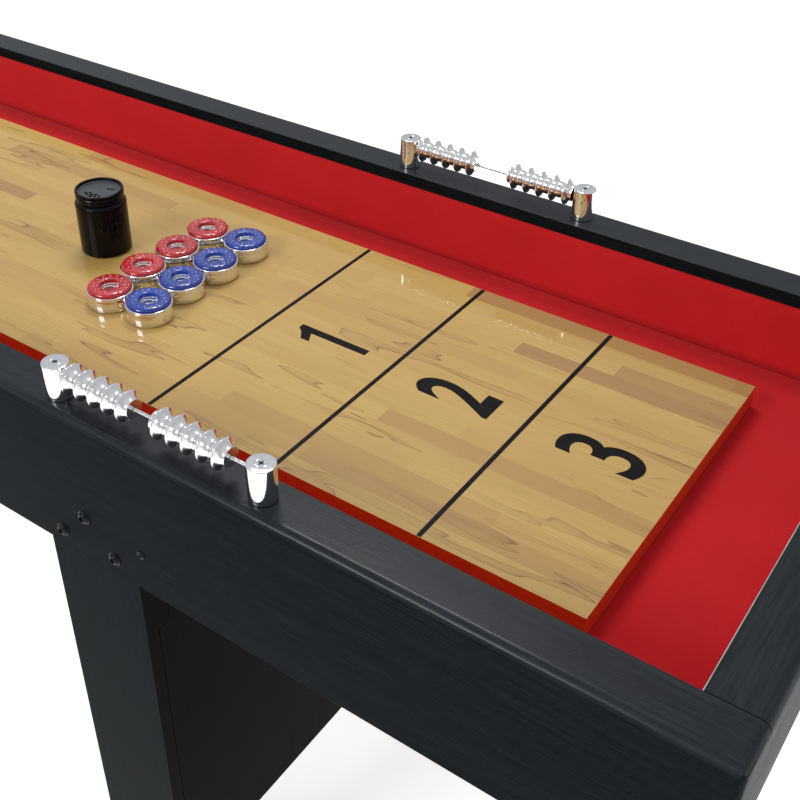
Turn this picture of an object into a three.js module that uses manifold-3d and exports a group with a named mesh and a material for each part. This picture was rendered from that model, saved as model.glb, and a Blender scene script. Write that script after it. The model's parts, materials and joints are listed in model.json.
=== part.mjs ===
// Shuffleboard table with its playing set: a raised playfield board in a felt-lined cabinet,
// two leg frames, two bead scorers on the rails, eight pucks and a wax shaker.
// Millimetres. Origin on the floor under the cabinet's centre, +X along the length, +Z up.
// "right" is the +X end with the scorers, "front" is the -Y side.
import * as THREE from "three";
import { mergeVertices } from "three/addons/utils/BufferGeometryUtils.js";
import Module from "manifold-3d";

const wasm = await Module();
wasm.setup();

// Cabinet
const TABLE_LENGTH = 2743;
const TABLE_WIDTH = 624.6;
const RAIL_TOP_Z = 800;
const RAIL_WIDTH = 47.3;
const CAP_THICKNESS = 14.9;
const APRON_HEIGHT = 167.7;
const APRON_THICKNESS = 15;
const EDGE_ROUND = 9;
const CORNER_ROUND = 8;
const PAD_THICKNESS = 12;
const CARPET_THICKNESS = 3;
const FLOOR_THICKNESS = 18;
const BATTEN_SIZE = 40;

// Playfield
const PLAYFIELD_WIDTH = 381;
const PLAYFIELD_TOP_Z = 728.4;
const PLAYFIELD_THICKNESS = 24;
const END_GUTTER = 112.4;

// Legs
const LEG_OUTER_X = 828.4;
const LEG_WIDTH = 117.8;
const LEG_THICKNESS = 15;
const LEG_BOTTOM_Z = 14;
const TONGUE_BOTTOM_Z = 560;
const PANEL_BOTTOM_Z = 127;
const FOOT_BLOCK_LENGTH = 60;
const FOOT_BLOCK_DEPTH = 25;
const FOOT_BLOCK_TOP_Z = 90;
const LEVELER_INSET = 20;
const LEVELER_FOOT_RADIUS = 16;
const LEVELER_FOOT_HEIGHT = 8;
const LEVELER_STEM_RADIUS = 4;
const LEVELER_STEM_TOP_Z = 50;
const LEVELER_EDGE = 1.5;
const STEM_CLEARANCE = 0.35;

// Scorers
const SCORER_X = { front: 850.5, back: 842.5 };
const POST_SPACING = 233.5;
const POST_RADIUS = 12.5;
const POST_HEIGHT = 35.5;
const POST_EDGE = 0.8;
const ROD_RADIUS = 1.6;
const ROD_HEIGHT = 25.5;
const ROD_SOCKET = 6;
const BEADS_PER_GROUP = 5;
const BEAD_LENGTH = 16.2;
const BEAD_RIM_RADIUS = 14.6;
const BEAD_HUB_RADIUS = 9.3;
const BEAD_BORE_RADIUS = 2;
const BEAD_SPACE = 0.3;
const BEAD_RIM_HALF = 1.1;
const BEAD_HUB_FLAT = 1.6;
const BEAD_CONE_RISE = 0.4;
const BEAD_CONE_REACH = 0.45;
const RIGHT_GROUP_FREE_END = { front: 19, back: 0.3 };

// Pucks: centres on the playfield, one table per colour
const PUCK_RADIUS = 26.5;
const PUCK_CAP_RADIUS = 25;
const PUCK_HOLE_RADIUS = 10;
const PUCK_HEIGHT = 23;
const PUCK_EDGE = 1.2;
const PUCK_BODY_TOP = 17;
const PUCK_CAP_BOTTOM = 18.5;
const PUCK_CAP_EDGE = 1.5;
const PUCK_HOLE_EDGE = 1;
const PUCK_HOLE_DEPTH = 4.5;
const PUCK_UNDERSIDE_RADIUS = 18;
const PUCK_UNDERSIDE_DEPTH = 2;
const PUCKS = {
  blue: [[623.7, -72.0], [619.6, -15.8], [622.9, 38.4], [620.2, 95.3]],
  red: [[568.1, -76.3], [564.3, -19.9], [566.2, 34.7], [566.1, 88.7]],
};

// Wax shaker
const CAN_CENTRE = [473.5, 8.9];
const CAN_RADIUS = 30.2;
const CAN_EDGE = 1.5;
const CAN_SHOULDER_Z = 67;
const CAN_SHOULDER_DROP = 4;
const CAN_SHOULDER_INSET = 1.8;
const CAN_NECK_RADIUS = 24;
const CAN_NECK_TOP = 73;
const LID_RADIUS = 28.4;
const LID_TOP = 79;
const LID_EDGE = 1.5;
const LID_DISH_RADIUS = 25;
const LID_DISH_DEPTH = 3;
const LID_HOLE_RADIUS = 2;
const LID_HOLE_RING = 13;
const LID_HOLE_DEGREES = [-50, -25, 0, 25, 50];
const LID_POUR_RADIUS = 6;

const GAP = 0.3;

// Derived planes
const HALF_LENGTH = TABLE_LENGTH / 2;
const HALF_WIDTH = TABLE_WIDTH / 2;
const INNER_HALF_LENGTH = HALF_LENGTH - RAIL_WIDTH;
const INNER_HALF_WIDTH = HALF_WIDTH - RAIL_WIDTH;
const PLAYFIELD_LENGTH = 2 * (INNER_HALF_LENGTH - END_GUTTER);
const CAP_BOTTOM_Z = RAIL_TOP_Z - CAP_THICKNESS;
const APRON_BOTTOM_Z = RAIL_TOP_Z - APRON_HEIGHT;
const APRON_INNER_Y = HALF_WIDTH - APRON_THICKNESS;
const APRON_INNER_X = HALF_LENGTH - APRON_THICKNESS;
const CARPET_TOP_Z = PLAYFIELD_TOP_Z - PLAYFIELD_THICKNESS - GAP;
const FLOOR_TOP_Z = CARPET_TOP_Z - CARPET_THICKNESS - GAP;
const FLOOR_BOTTOM_Z = FLOOR_TOP_Z - FLOOR_THICKNESS;
const TONGUE_TOP_Z = FLOOR_BOTTOM_Z - GAP;
const TONGUE_INNER_Y = APRON_INNER_Y - GAP - LEG_THICKNESS;
const LEG_MIDDLE_X = LEG_OUTER_X - LEG_WIDTH / 2;
const LEVELER_Y = HALF_WIDTH - LEVELER_INSET;
const SCORER_Y = HALF_WIDTH - RAIL_WIDTH / 2;
const ROD_Z = RAIL_TOP_Z + GAP + ROD_HEIGHT;

// Finishes
const LAMINATE = { color: 0x24282b, roughness: 0.45, metalness: 0 };
const DARK_WOOD = { color: 0x1b1c1e, roughness: 0.6, metalness: 0 };
const RAW_WOOD = { color: 0xa98a5f, roughness: 0.7, metalness: 0 };
const PLAY_WOOD = { color: 0xc79a54, roughness: 0.15, metalness: 0 };
const FELT = { color: 0xb8151a, roughness: 0.95, metalness: 0 };
const CHROME = { color: 0xd9dcde, roughness: 0.12, metalness: 1 };
const ALUMINIUM = { color: 0xc9ccce, roughness: 0.3, metalness: 1 };
const STEEL = { color: 0x9a9ea2, roughness: 0.3, metalness: 1 };
const BLACK_PLASTIC = { color: 0x121314, roughness: 0.3, metalness: 0 };
const PUCK_FINISH = {
  blue: { color: 0x2f56a8, roughness: 0.3, metalness: 0.4 },
  red: { color: 0xb3262d, roughness: 0.3, metalness: 0.4 },
};

const table = new THREE.Group();

function add(name, geometry, finish) {
  const mesh = new THREE.Mesh(geometry, new THREE.MeshStandardMaterial(finish));
  mesh.name = name;
  table.add(mesh);
}

// Solids and booleans
function solidOf(geometry) {
  const bare = geometry.clone();
  bare.deleteAttribute("normal");
  bare.deleteAttribute("uv");
  const merged = mergeVertices(bare.index ? bare.toNonIndexed() : bare, 1e-3);
  return new wasm.Manifold(new wasm.Mesh({
    numProp: 3,
    vertProperties: merged.attributes.position.array,
    triVerts: new Uint32Array(merged.index.array),
  }));
}

function geometryOf(solid) {
  const mesh = solid.getMesh();
  const geometry = new THREE.BufferGeometry();
  geometry.setAttribute("position", new THREE.BufferAttribute(mesh.vertProperties, 3));
  geometry.setIndex(new THREE.BufferAttribute(mesh.triVerts, 1));
  geometry.computeVertexNormals();
  return geometry;
}

function union(...geometries) {
  return geometryOf(geometries.map(solidOf).reduce((a, b) => a.add(b)));
}

function common(...geometries) {
  return geometryOf(geometries.map(solidOf).reduce((a, b) => a.intersect(b)));
}

function cut(geometry, ...tools) {
  return geometryOf(tools.map(solidOf).reduce((a, b) => a.subtract(b), solidOf(geometry)));
}

function box(low, high) {
  const size = high.map((value, axis) => value - low[axis]);
  const middle = high.map((value, axis) => (value + low[axis]) / 2);
  return new THREE.BoxGeometry(...size).translate(...middle);
}

function shapeOf(points) {
  return new THREE.Shape(points.map(([a, b]) => new THREE.Vector2(a, b)));
}

// A profile given as (across, up) pairs, extruded between two values of the third axis.
const AXIS_FRAMES = {
  x: [[0, 1, 0], [0, 0, 1], [1, 0, 0]],
  y: [[0, 0, 1], [1, 0, 0], [0, 1, 0]],
  z: [[1, 0, 0], [0, 1, 0], [0, 0, 1]],
};

function prism(points, axis, from, to) {
  const solid = new THREE.ExtrudeGeometry(shapeOf(points), { depth: to - from, bevelEnabled: false });
  solid.translate(0, 0, from);
  const [across, up, along] = AXIS_FRAMES[axis].map((v) => new THREE.Vector3(...v));
  return solid.applyMatrix4(new THREE.Matrix4().makeBasis(across, up, along));
}

// A quarter circle of corner points about a centre, from one angle in degrees to another.
function arc(centre, radius, fromDeg, toDeg, steps = 5) {
  return Array.from({ length: steps + 1 }, (_, i) => {
    const angle = THREE.MathUtils.degToRad(fromDeg + ((toDeg - fromDeg) * i) / steps);
    return [centre[0] + radius * Math.cos(angle), centre[1] + radius * Math.sin(angle)];
  });
}

function roundedRectangle(halfWidth, halfHeight, radius) {
  const x = halfWidth - radius;
  const y = halfHeight - radius;
  return [
    ...arc([x, -y], radius, -90, 0),
    ...arc([x, y], radius, 0, 90),
    ...arc([-x, y], radius, 90, 180),
    ...arc([-x, -y], radius, 180, 270),
  ];
}

// A turned piece about the Z axis: (radius, height) pairs from the axis or round a closed ring.
function turned(profile, segments) {
  const points = profile.map(([radius, height]) => new THREE.Vector2(radius, height));
  return new THREE.LatheGeometry(points, segments).rotateX(Math.PI / 2);
}

// Cabinet: an inverted L section, the cap over the inner pad and the apron outside it.
function railSection(outer, inner, apronInner) {
  return [
    [outer, APRON_BOTTOM_Z],
    ...arc([outer - EDGE_ROUND, RAIL_TOP_Z - EDGE_ROUND], EDGE_ROUND, 0, 90),
    [inner, RAIL_TOP_Z],
    [inner, CAP_BOTTOM_Z],
    [apronInner, CAP_BOTTOM_Z],
    [apronInner, APRON_BOTTOM_Z],
  ];
}

function cabinetEnvelope() {
  const plan = roundedRectangle(HALF_LENGTH, HALF_WIDTH, CORNER_ROUND);
  const top = RAIL_TOP_Z - EDGE_ROUND;
  const side = [
    [-HALF_LENGTH, APRON_BOTTOM_Z],
    [HALF_LENGTH, APRON_BOTTOM_Z],
    ...arc([HALF_LENGTH - EDGE_ROUND, top], EDGE_ROUND, 0, 90),
    ...arc([-HALF_LENGTH + EDGE_ROUND, top], EDGE_ROUND, 90, 180),
  ];
  const sideAlongY = side.map(([x, z]) => [z, x]);
  const reach = HALF_WIDTH + 1;
  return common(
    prism(plan, "z", APRON_BOTTOM_Z, RAIL_TOP_Z),
    prism(sideAlongY, "y", -reach, reach),
  );
}

function sideRail() {
  const section = railSection(HALF_WIDTH, INNER_HALF_WIDTH, APRON_INNER_Y);
  return common(prism(section, "x", -HALF_LENGTH, HALF_LENGTH), cabinetEnvelope());
}

function endRail() {
  const reach = INNER_HALF_WIDTH - GAP;
  const section = railSection(HALF_LENGTH, INNER_HALF_LENGTH, APRON_INNER_X);
  const alongY = section.map(([x, z]) => [z, x]);
  const apronReach = APRON_INNER_Y - GAP;
  const apron = box(
    [APRON_INNER_X, -apronReach, APRON_BOTTOM_Z],
    [HALF_LENGTH, apronReach, CAP_BOTTOM_Z - GAP],
  );
  return union(prism(alongY, "y", -reach, reach), apron);
}

function addCabinet() {
  add("side_rail_front", sideRail().rotateZ(Math.PI), LAMINATE);
  add("side_rail_back", sideRail(), LAMINATE);
  add("end_rail_right", endRail(), LAMINATE);
  add("end_rail_left", endRail().rotateZ(Math.PI), LAMINATE);
  const floorX = APRON_INNER_X - GAP;
  const floorY = APRON_INNER_Y - GAP;
  add("cabinet_floor", box([-floorX, -floorY, FLOOR_BOTTOM_Z], [floorX, floorY, FLOOR_TOP_Z]), RAW_WOOD);
  const carpetZ = CARPET_TOP_Z - CARPET_THICKNESS;
  const carpetX = INNER_HALF_LENGTH - GAP;
  const carpetY = INNER_HALF_WIDTH - GAP;
  add("gutter_carpet", box([-carpetX, -carpetY, carpetZ], [carpetX, carpetY, CARPET_TOP_Z]), FELT);
  const halfLength = PLAYFIELD_LENGTH / 2;
  const halfWidth = PLAYFIELD_WIDTH / 2;
  const boardZ = PLAYFIELD_TOP_Z - PLAYFIELD_THICKNESS;
  add("playfield", box([-halfLength, -halfWidth, boardZ], [halfLength, halfWidth, PLAYFIELD_TOP_Z]), PLAY_WOOD);
}

// Felt pads: the red inner walls between the cabinet floor and the cap.
function addPads() {
  const low = FLOOR_TOP_Z + GAP;
  const high = CAP_BOTTOM_Z - GAP;
  const sideReach = INNER_HALF_LENGTH + PAD_THICKNESS;
  const endReach = INNER_HALF_WIDTH - GAP;
  const sidePad = () => box(
    [-sideReach, INNER_HALF_WIDTH, low],
    [sideReach, INNER_HALF_WIDTH + PAD_THICKNESS, high],
  );
  const endPad = () => box(
    [INNER_HALF_LENGTH, -endReach, low],
    [INNER_HALF_LENGTH + PAD_THICKNESS, endReach, high],
  );
  add("side_pad_back", sidePad(), FELT);
  add("side_pad_front", sidePad().rotateZ(Math.PI), FELT);
  add("end_pad_right", endPad(), FELT);
  add("end_pad_left", endPad().rotateZ(Math.PI), FELT);
}

// Leg board: its face is level with the apron's, a tongue at its top stands behind the apron,
// and a block glued inside its foot holds the leveler's thread.
function legBoard() {
  const inner = HALF_WIDTH - LEG_THICKNESS;
  const section = [
    [HALF_WIDTH, LEG_BOTTOM_Z],
    [HALF_WIDTH, APRON_BOTTOM_Z - GAP],
    [APRON_INNER_Y - GAP, APRON_BOTTOM_Z - GAP],
    [APRON_INNER_Y - GAP, TONGUE_TOP_Z],
    [TONGUE_INNER_Y, TONGUE_TOP_Z],
    [TONGUE_INNER_Y, TONGUE_BOTTOM_Z],
    [inner, TONGUE_BOTTOM_Z],
    [inner, LEG_BOTTOM_Z],
  ];
  const board = prism(section, "x", LEG_OUTER_X - LEG_WIDTH, LEG_OUTER_X);
  const block = box(
    [LEG_MIDDLE_X - FOOT_BLOCK_LENGTH / 2, inner - FOOT_BLOCK_DEPTH, LEG_BOTTOM_Z],
    [LEG_MIDDLE_X + FOOT_BLOCK_LENGTH / 2, inner + 1, FOOT_BLOCK_TOP_Z],
  );
  const holeRadius = LEVELER_STEM_RADIUS + STEM_CLEARANCE;
  const stemHole = new THREE.CylinderGeometry(holeRadius, holeRadius, 2 * LEVELER_STEM_TOP_Z, 16);
  stemHole.rotateX(Math.PI / 2).translate(LEG_MIDDLE_X, LEVELER_Y, GAP);
  return cut(union(board, block), stemHole);
}

function leveler() {
  return turned([
    [0, 0],
    [LEVELER_FOOT_RADIUS - LEVELER_EDGE, 0],
    [LEVELER_FOOT_RADIUS, LEVELER_EDGE],
    [LEVELER_FOOT_RADIUS, LEVELER_FOOT_HEIGHT - LEVELER_EDGE],
    [LEVELER_FOOT_RADIUS - LEVELER_EDGE, LEVELER_FOOT_HEIGHT],
    [LEVELER_STEM_RADIUS, LEVELER_FOOT_HEIGHT],
    [LEVELER_STEM_RADIUS, LEVELER_STEM_TOP_Z - GAP],
    [0, LEVELER_STEM_TOP_Z - GAP],
  ], 16);
}

// Cross panel between two leg boards, narrower at the top where the tongues are.
function legPanel() {
  const wide = HALF_WIDTH - LEG_THICKNESS - GAP;
  const narrow = TONGUE_INNER_Y - GAP;
  const shoulder = TONGUE_BOTTOM_Z - GAP;
  const outline = [
    [-wide, PANEL_BOTTOM_Z],
    [wide, PANEL_BOTTOM_Z],
    [wide, shoulder],
    [narrow, shoulder],
    [narrow, TONGUE_TOP_Z],
    [-narrow, TONGUE_TOP_Z],
    [-narrow, shoulder],
    [-wide, shoulder],
  ];
  return prism(outline, "x", LEG_OUTER_X - LEG_THICKNESS, LEG_OUTER_X);
}

function addLegs() {
  const ends = [["right", 1], ["left", -1]];
  const sides = [["front", -1], ["back", 1]];
  for (const [end, endSign] of ends) {
    for (const [side, sideSign] of sides) {
      const board = legBoard();
      const mirrored = solidOf(board).scale([endSign, sideSign, 1]);
      add("leg_board_" + side + "_" + end, geometryOf(mirrored), LAMINATE);
      const foot = leveler().translate(endSign * LEG_MIDDLE_X, sideSign * LEVELER_Y, 0);
      add("leveler_" + side + "_" + end, foot, STEEL);
    }
    const turn = endSign > 0 ? 0 : Math.PI;
    add("leg_panel_" + end, legPanel().rotateZ(turn), DARK_WOOD);
    const cleatX = LEG_OUTER_X - LEG_THICKNESS - GAP;
    const cleatY = TONGUE_INNER_Y - GAP;
    const cleat = box(
      [cleatX - BATTEN_SIZE, -cleatY, TONGUE_TOP_Z - BATTEN_SIZE],
      [cleatX, cleatY, TONGUE_TOP_Z],
    );
    add("leg_cleat_" + end, cleat.rotateZ(turn), RAW_WOOD);
  }
  const battenY = APRON_INNER_Y - GAP;
  const batten = box(
    [-BATTEN_SIZE / 2, -battenY, TONGUE_TOP_Z - BATTEN_SIZE],
    [BATTEN_SIZE / 2, battenY, TONGUE_TOP_Z],
  );
  add("floor_batten_middle", batten, RAW_WOOD);
}

// Scorer post: a chrome cylinder with a cross bore for the rod's end, open on one side.
function post(endSign) {
  const body = turned([
    [0, 0],
    [POST_RADIUS, 0],
    [POST_RADIUS, POST_HEIGHT - POST_EDGE],
    [POST_RADIUS - POST_EDGE, POST_HEIGHT],
    [0, POST_HEIGHT],
  ], 24);
  const socketRadius = ROD_RADIUS + GAP;
  const socket = new THREE.CylinderGeometry(socketRadius, socketRadius, POST_RADIUS, 12);
  const socketX = -endSign * (POST_RADIUS - ROD_SOCKET + POST_RADIUS / 2);
  socket.rotateZ(Math.PI / 2).translate(socketX, 0, ROD_HEIGHT);
  return cut(body, socket);
}

// Bead: a sharp middle rim with hollow cones down to a hub at each end, threaded on the rod.
function bead() {
  const half = BEAD_LENGTH / 2;
  const coneRadius = BEAD_HUB_RADIUS + BEAD_CONE_RISE * (BEAD_RIM_RADIUS - BEAD_HUB_RADIUS);
  const coneReach = BEAD_CONE_REACH * half;
  const profile = [
    [BEAD_BORE_RADIUS, -half],
    [BEAD_HUB_RADIUS, -half],
    [BEAD_HUB_RADIUS, -half + BEAD_HUB_FLAT],
    [coneRadius, -coneReach],
    [BEAD_RIM_RADIUS, -BEAD_RIM_HALF],
    [BEAD_RIM_RADIUS, BEAD_RIM_HALF],
    [coneRadius, coneReach],
    [BEAD_HUB_RADIUS, half - BEAD_HUB_FLAT],
    [BEAD_HUB_RADIUS, half],
    [BEAD_BORE_RADIUS, half],
    [BEAD_BORE_RADIUS, -half],
  ];
  return turned(profile, 14).rotateY(Math.PI / 2);
}

// Bead middles along X, left group first. The left group starts at the left post.
function beadMiddles(side) {
  const reach = POST_SPACING / 2 - POST_RADIUS;
  const pitch = BEAD_LENGTH + BEAD_SPACE;
  const first = SCORER_X[side] - reach + BEAD_SPACE + BEAD_LENGTH / 2;
  const last = SCORER_X[side] + reach - RIGHT_GROUP_FREE_END[side] - BEAD_LENGTH / 2;
  const left = Array.from({ length: BEADS_PER_GROUP }, (_, i) => first + i * pitch);
  const right = Array.from({ length: BEADS_PER_GROUP }, (_, i) => last - (BEADS_PER_GROUP - 1 - i) * pitch);
  return [...left, ...right];
}

function addScorer(side, sideSign) {
  const y = sideSign * SCORER_Y;
  const base = RAIL_TOP_Z + GAP;
  for (const [end, endSign] of [["left", -1], ["right", 1]]) {
    const x = SCORER_X[side] + (endSign * POST_SPACING) / 2;
    add("scorer_post_" + side + "_" + end, post(endSign).translate(x, y, base), CHROME);
  }
  const rodLength = POST_SPACING - 2 * (POST_RADIUS - ROD_SOCKET) - 2 * GAP;
  const rod = new THREE.CylinderGeometry(ROD_RADIUS, ROD_RADIUS, rodLength, 12);
  rod.rotateZ(Math.PI / 2).translate(SCORER_X[side], y, ROD_Z);
  add("scorer_rod_" + side, rod, STEEL);
  beadMiddles(side).forEach((x, i) => {
    const number = String(i + 1).padStart(2, "0");
    add("bead_" + side + "_" + number, bead().translate(x, y, ROD_Z), ALUMINIUM);
  });
}

// Puck: a weighted steel disc with a ring cap, recessed underneath so only its rim slides.
function puck() {
  return turned([
    [0, PUCK_UNDERSIDE_DEPTH],
    [PUCK_UNDERSIDE_RADIUS, PUCK_UNDERSIDE_DEPTH],
    [PUCK_UNDERSIDE_RADIUS + PUCK_UNDERSIDE_DEPTH, 0],
    [PUCK_RADIUS - PUCK_EDGE, 0],
    [PUCK_RADIUS, PUCK_EDGE],
    [PUCK_RADIUS, PUCK_BODY_TOP],
    [PUCK_CAP_RADIUS, PUCK_CAP_BOTTOM],
    [PUCK_CAP_RADIUS, PUCK_HEIGHT - PUCK_CAP_EDGE],
    [PUCK_CAP_RADIUS - PUCK_CAP_EDGE, PUCK_HEIGHT],
    [PUCK_HOLE_RADIUS + PUCK_HOLE_EDGE, PUCK_HEIGHT],
    [PUCK_HOLE_RADIUS, PUCK_HEIGHT - PUCK_HOLE_EDGE],
    [PUCK_HOLE_RADIUS, PUCK_HEIGHT - PUCK_HOLE_DEPTH],
    [0, PUCK_HEIGHT - PUCK_HOLE_DEPTH],
  ], 22);
}

function addPucks() {
  for (const [colour, centres] of Object.entries(PUCKS)) {
    centres.forEach(([x, y], i) => {
      const at = puck().translate(x, y, PLAYFIELD_TOP_Z + GAP);
      add("puck_" + colour + "_" + (i + 1), at, PUCK_FINISH[colour]);
    });
  }
}

function shakerBody() {
  return turned([
    [0, 0],
    [CAN_RADIUS - CAN_EDGE, 0],
    [CAN_RADIUS, CAN_EDGE],
    [CAN_RADIUS, CAN_SHOULDER_Z - CAN_SHOULDER_DROP],
    [CAN_RADIUS - CAN_SHOULDER_INSET, CAN_SHOULDER_Z],
    [CAN_NECK_RADIUS, CAN_SHOULDER_Z],
    [CAN_NECK_RADIUS, CAN_NECK_TOP],
    [0, CAN_NECK_TOP],
  ], 28);
}

// Shaker lid: a skirt round the neck, a dished top with a ring of holes and a pouring hole.
function shakerLid() {
  const innerTop = CAN_NECK_TOP + GAP;
  const skirtBottom = CAN_SHOULDER_Z + GAP;
  const bore = CAN_NECK_RADIUS + GAP;
  const cap = turned([
    [0, innerTop],
    [bore, innerTop],
    [bore, skirtBottom],
    [LID_RADIUS, skirtBottom],
    [LID_RADIUS, LID_TOP - LID_EDGE],
    [LID_RADIUS - LID_EDGE, LID_TOP],
    [LID_DISH_RADIUS, LID_TOP],
    [LID_DISH_RADIUS - LID_DISH_DEPTH, LID_TOP - LID_DISH_DEPTH],
    [0, LID_TOP - LID_DISH_DEPTH],
  ], 28);
  const hole = (radius, x, y) => new THREE.CylinderGeometry(radius, radius, 30, 8)
    .rotateX(Math.PI / 2).translate(x, y, LID_TOP);
  const ring = LID_HOLE_DEGREES.map((deg) => {
    const angle = THREE.MathUtils.degToRad(deg);
    return hole(LID_HOLE_RADIUS, LID_HOLE_RING * Math.cos(angle), LID_HOLE_RING * Math.sin(angle));
  });
  return cut(cap, ...ring, hole(LID_POUR_RADIUS, -LID_HOLE_RING, 0));
}

function addShaker() {
  const at = [...CAN_CENTRE, PLAYFIELD_TOP_Z + GAP];
  add("wax_shaker_body", shakerBody().translate(...at), BLACK_PLASTIC);
  add("wax_shaker_lid", shakerLid().translate(...at), BLACK_PLASTIC);
}

addCabinet();
addPads();
addLegs();
addScorer("front", -1);
addScorer("back", 1);
addPucks();
addShaker();

export default table;
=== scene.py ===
import json
import math

import bmesh
import bpy
from mathutils import Matrix, Vector, noise

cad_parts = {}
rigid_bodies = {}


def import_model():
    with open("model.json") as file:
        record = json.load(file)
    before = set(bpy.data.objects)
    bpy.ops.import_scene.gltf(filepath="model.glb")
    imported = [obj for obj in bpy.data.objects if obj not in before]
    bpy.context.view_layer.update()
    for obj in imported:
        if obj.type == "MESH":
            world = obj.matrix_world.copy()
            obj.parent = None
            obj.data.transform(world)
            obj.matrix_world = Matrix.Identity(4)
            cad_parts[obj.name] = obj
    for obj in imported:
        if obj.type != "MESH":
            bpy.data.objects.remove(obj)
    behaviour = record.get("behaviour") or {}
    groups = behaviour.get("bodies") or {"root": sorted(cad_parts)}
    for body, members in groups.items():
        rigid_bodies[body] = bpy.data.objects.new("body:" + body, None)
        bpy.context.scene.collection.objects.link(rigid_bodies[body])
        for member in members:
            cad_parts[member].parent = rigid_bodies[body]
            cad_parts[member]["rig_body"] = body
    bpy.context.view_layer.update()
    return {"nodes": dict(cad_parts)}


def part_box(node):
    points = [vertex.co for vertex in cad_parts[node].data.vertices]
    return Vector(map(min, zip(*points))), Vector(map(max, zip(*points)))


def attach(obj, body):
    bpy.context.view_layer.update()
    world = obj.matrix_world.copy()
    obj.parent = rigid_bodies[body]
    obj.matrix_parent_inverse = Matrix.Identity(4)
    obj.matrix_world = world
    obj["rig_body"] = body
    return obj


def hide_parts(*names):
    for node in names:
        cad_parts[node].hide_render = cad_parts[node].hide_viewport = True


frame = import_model()
nodes = frame["nodes"]
MM = 0.001
SIDES = ("front", "back")

# ---------------------------------------------------------------- camera
CAMERA_PLACE = (1.4153, -0.7887, 1.4023)
CAMERA_YAW = 35.50
CAMERA_PITCH = 36.32
CAMERA_ROLL = 0.216
CAMERA_LENS = 50.57
CAMERA_SHIFT = (0.0536, -0.0195)
SENSOR_WIDTH = 36


def add_camera():
    data = bpy.data.cameras.new("camera")
    data.sensor_width = SENSOR_WIDTH
    data.lens = CAMERA_LENS
    data.shift_x, data.shift_y = CAMERA_SHIFT
    data.clip_start = 0.05
    data.clip_end = 200
    camera = bpy.data.objects.new("camera", data)
    turn = (
        Matrix.Rotation(math.radians(CAMERA_YAW), 4, "Z")
        @ Matrix.Rotation(math.radians(90 - CAMERA_PITCH), 4, "X")
        @ Matrix.Rotation(math.radians(CAMERA_ROLL), 4, "Z")
    )
    camera.matrix_world = Matrix.Translation(CAMERA_PLACE) @ turn
    bpy.context.scene.collection.objects.link(camera)
    bpy.context.scene.camera = camera


# ---------------------------------------------------------------- material graphs
class Paint:
    """A material with one Principled shader, and short calls for its texture nodes."""

    def __init__(self, name, **values):
        self.material = bpy.data.materials.new(name)
        self.material.use_nodes = True
        self.tree = self.material.node_tree
        self.shader = self.tree.nodes["Principled BSDF"]
        self.sockets = {socket.name.lower().replace(" ", "_"): socket for socket in self.shader.inputs}
        for key, value in values.items():
            self.sockets[key].default_value = value

    def node(self, kind, inputs=(), **settings):
        made = self.tree.nodes.new(kind)
        for key, value in settings.items():
            setattr(made, key, value)
        for key, value in dict(inputs).items():
            self.feed(made.inputs[key], value)
        return made

    def feed(self, socket, value):
        if isinstance(value, bpy.types.NodeSocket):
            self.tree.links.new(value, socket)
        else:
            socket.default_value = value

    def coordinates(self, kind):
        return self.node("ShaderNodeTexCoord").outputs[kind]

    def stretch(self, vector, scale):
        return self.node("ShaderNodeMapping", {"Vector": vector, "Scale": scale}).outputs[0]

    def place(self, scale=(1, 1, 1)):
        """Object coordinates stretched by scale."""
        return self.stretch(self.coordinates("Object"), scale)

    def split(self, vector):
        return self.node("ShaderNodeSeparateXYZ", {0: vector}).outputs

    def noise(self, vector, scale, detail=3, roughness=0.5, distortion=0):
        inputs = {"Vector": vector, "Scale": scale, "Detail": detail}
        inputs.update({"Roughness": roughness, "Distortion": distortion})
        return self.node("ShaderNodeTexNoise", inputs).outputs["Fac"]

    def math(self, operation, first, second=0.0, third=0.0):
        inputs = {0: first, 1: second, 2: third}
        return self.node("ShaderNodeMath", inputs, operation=operation).outputs[0]

    def vector_math(self, operation, first, second):
        inputs = {0: first, 1: second}
        return self.node("ShaderNodeVectorMath", inputs, operation=operation).outputs[0]

    def blend(self, first, second, share):
        """First times share plus second times the rest."""
        return self.math("MULTIPLY_ADD", first, share, self.math("MULTIPLY", second, 1 - share))

    def spread(self, value, low, high, to_low=0.0, to_high=1.0):
        inputs = {"Value": value, "From Min": low, "From Max": high, "To Min": to_low, "To Max": to_high}
        return self.node("ShaderNodeMapRange", inputs).outputs["Result"]

    def ramp(self, value, stops):
        made = self.node("ShaderNodeValToRGB", {"Fac": value})
        elements = made.color_ramp.elements
        while len(elements) < len(stops):
            elements.new(0.5)
        for element, (position, colour) in zip(elements, stops):
            element.position = position
            element.color = (*colour, 1)
        return made.outputs["Color"]

    def mix(self, factor, first, second):
        made = self.node("ShaderNodeMix", data_type="RGBA")
        self.feed(made.inputs["Factor"], factor)
        for socket, value in ((made.inputs[6], first), (made.inputs[7], second)):
            self.feed(socket, (*value, 1) if isinstance(value, tuple) else value)
        return made.outputs[2]

    def bump(self, height, distance, strength):
        inputs = {"Height": height, "Distance": distance, "Strength": strength}
        return self.node("ShaderNodeBump", inputs).outputs["Normal"]

    def finish(self, **links):
        for key, value in links.items():
            self.feed(self.sockets[key.lower()], value)
        return self.material


PORE_SCALE = (5.5, 170)
BAND_SCALE = (1.6, 26)
SIDE_SHINE, TOP_SHINE = 0.012, 0.14
TOP_COAT = 0.17


def along_grain(axis, scale):
    """A texture scale that draws long streaks: a small number along the axis, a large one across."""
    stretched = [scale[1]] * 3
    stretched[axis] = scale[0]
    return stretched


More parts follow.
